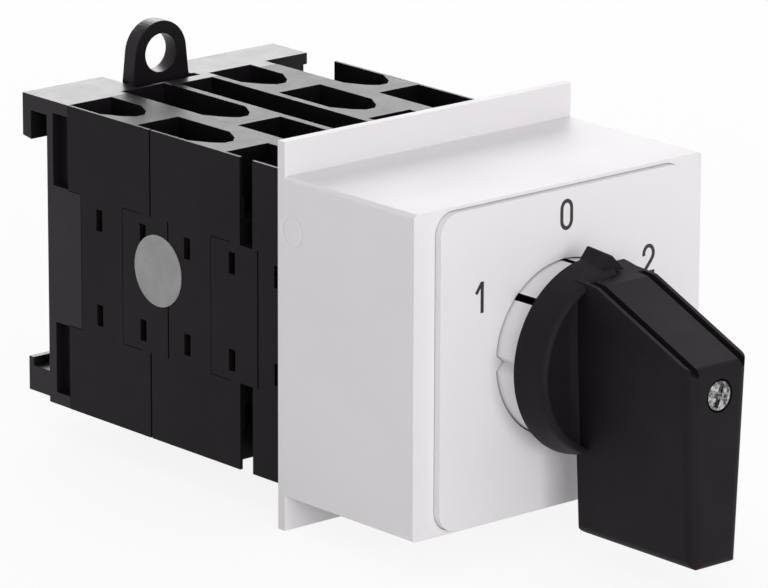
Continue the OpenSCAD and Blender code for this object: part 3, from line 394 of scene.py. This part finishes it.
def ribbon(name, path, width, closed, origin):
    """A printed line of even width along path, lying on the plane whose normal is -Y."""
    count = len(path)
    left = []
    right = []
    for i in range(count):
        a = Vector(path[(i - 1) % count if closed else max(i - 1, 0)])
        b = Vector(path[(i + 1) % count if closed else min(i + 1, count - 1)])
        ahead = (b - a).normalized()
        side = Vector((-ahead.y, ahead.x)) * width / 2
        here = Vector(path[i])
        left.append(here + side)
        right.append(here - side)
    mesh = bmesh.new()
    x0, y0, z0 = origin
    layers = []
    for lift in (0, PRINT_T):
        row = [mesh.verts.new(((x0 + p.x) * MM, (y0 - lift) * MM, (z0 + p.y) * MM))
               for p in left + right]
        layers.append(row)
    low, top = layers
    last = count if closed else count - 1
    for i in range(last):
        j = (i + 1) % count
        mesh.faces.new((top[i], top[j], top[count + j], top[count + i]))
        mesh.faces.new((low[j], low[i], low[count + i], low[count + j]))
        mesh.faces.new((low[i], low[j], top[j], top[i]))
        mesh.faces.new((top[count + i], top[count + j], low[count + j], low[count + i]))
    if not closed:
        for i in (0, count - 1):
            mesh.faces.new((low[i], top[i], top[count + i], low[count + i]))
    bmesh.ops.recalc_face_normals(mesh, faces=mesh.faces)
    data = bpy.data.meshes.new(name)
    mesh.to_mesh(data)
    mesh.free()
    data.materials.append(PRINT)
    piece = bpy.data.objects.new(name, data)
    bpy.context.scene.collection.objects.link(piece)
    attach(piece, "switch_case")


def numeral(name, path, place, width=STROKE, closed=False, lift=0.0):
    """One stroke of a numeral on the dial plate's front."""
    plate_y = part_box("dial_plate")[0].y / MM
    ribbon(name, path, width, closed, (place[0], plate_y - lift, place[1]))


def make_numerals():
    """The dial's plain numbers 0, 1 and 2."""
    half = (DIGIT_H - STROKE) / 2
    rx = (DIGIT_W - STROKE) / 2
    rz = rx * BOW_STRETCH
    straight = half - rz
    zero = arc(0, straight, rx, rz, 0, 180)[:-1] + [(-rx, straight), (-rx, -straight)]
    zero += arc(0, -straight, rx, rz, 180, 360)[1:-1] + [(rx, -straight)]
    numeral("numeral_0", zero, ZERO_AT, closed=True)
    numeral("numeral_1_stem", [(0, -DIGIT_H / 2), (0, 0), (0, DIGIT_H / 2)], ONE_AT)
    flag = [(-1.08, 0.6), (-0.6, 1.25), (-0.08, 2.02)]
    numeral("numeral_1_flag", flag, ONE_AT, FLAG_STROKE, lift=PRINT_LIFT)
    bow = arc(0, half - rz, rx, rz, 192, -28)
    bow += [(0.42, -0.25), (-0.12, -0.88), (-0.6, -1.45), (-rx, -half)]
    numeral("numeral_2_bow", bow, TWO_AT)
    base = [(-1.05, -half), (0, -half), (1.12, -half)]
    numeral("numeral_2_base", base, TWO_AT, lift=PRINT_LIFT)


# Light and surroundings

def add_area(name, place, aim, size, power):
    """Rectangular softbox that looks at a point."""
    data = bpy.data.lights.new(name, "AREA")
    data.shape = "RECTANGLE"
    data.size, data.size_y = size
    data.energy = power
    lamp = bpy.data.objects.new(name, data)
    bpy.context.scene.collection.objects.link(lamp)
    lamp.location = Vector(place)
    lamp.rotation_mode = "QUATERNION"
    lamp.rotation_quaternion = (Vector(aim) - Vector(place)).to_track_quat("-Z", "Y")


def seen_directly(tree):
    """1 for rays that show the background itself: camera, glossy and transmission rays."""
    rays = tree.nodes.new("ShaderNodeLightPath").outputs
    most = math_node(tree, "MAXIMUM", rays["Is Camera Ray"], rays["Is Glossy Ray"])
    return math_node(tree, "MAXIMUM", most, rays["Is Transmission Ray"])


WORLD_LIGHT = 0.53
FLOOR_SHADOW = 0.12
FLOOR_COLOUR = (0.95, 0.95, 0.95, 1)
FLOOR_SIZE = 3.0
FLOOR_GAP = 0.2 * MM


def make_world():
    """White surroundings that light the object less than they show."""
    world = bpy.data.worlds.new("studio")
    bpy.context.scene.world = world
    world.use_nodes = True
    tree = world.node_tree
    sky = tree.nodes["Background"]
    strength = map_range(tree, seen_directly(tree), WORLD_LIGHT, 1.0)
    tree.links.new(strength, sky.inputs["Strength"])
    sky.inputs["Color"].default_value = (1, 1, 1, 1)


def make_floor():
    """Pale floor under the cover's flange; it shows white with a faint shadow."""
    floor_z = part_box("front_cover")[0].z - FLOOR_GAP
    mesh = bmesh.new()
    bmesh.ops.create_grid(mesh, x_segments=1, y_segments=1, size=FLOOR_SIZE)
    data = bpy.data.meshes.new("floor")
    mesh.to_mesh(data)
    mesh.free()
    floor = bpy.data.objects.new("floor", data)
    bpy.context.scene.collection.objects.link(floor)
    floor.location = (0, 0, floor_z)
    mat = bpy.data.materials.new("pale_floor")
    mat.use_nodes = True
    tree = mat.node_tree
    tree.nodes.clear()
    out = tree.nodes.new("ShaderNodeOutputMaterial")
    mix = tree.nodes.new("ShaderNodeMixShader")
    matt = tree.nodes.new("ShaderNodeBsdfDiffuse")
    matt.inputs["Color"].default_value = FLOOR_COLOUR
    glow = tree.nodes.new("ShaderNodeEmission")
    tree.links.new(map_range(tree, seen_directly(tree), 0.0, 1 - FLOOR_SHADOW), mix.inputs[0])
    tree.links.new(matt.outputs[0], mix.inputs[1])
    tree.links.new(glow.outputs[0], mix.inputs[2])
    tree.links.new(mix.outputs[0], out.inputs[0])
    data.materials.append(mat)


# Softboxes around the object's middle, in metres and watts
LIT_POINT = (0, -0.06, 0)
SOFTBOXES = {
    "top_softbox": {"place": (-0.1, -0.25, 0.9), "size": (0.9, 0.9), "power": 1.0},
    "front_softbox": {"place": (-0.32, -1.0, 0.22), "size": (0.6, 0.5), "power": 4.9},
    "rear_softbox": {"place": (0.65, 0.75, 0.42), "size": (0.9, 0.5), "power": 6.0},
}


def make_lights():
    """All softboxes look at the same point."""
    for name, box in SOFTBOXES.items():
        add_area(name, box["place"], LIT_POINT, box["size"], box["power"])


def shorten_latch_spring():
    """Gives the latch spring, whose upper end is the fixed one, a mesh of its own."""
    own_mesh(frame["nodes"]["latch_spring"])


bpy.context.scene.view_settings.view_transform = "Standard"
make_camera()
make_world()
make_floor()
make_lights()
finish_nodes()
round_edges()
make_numerals()
shorten_latch_spring()
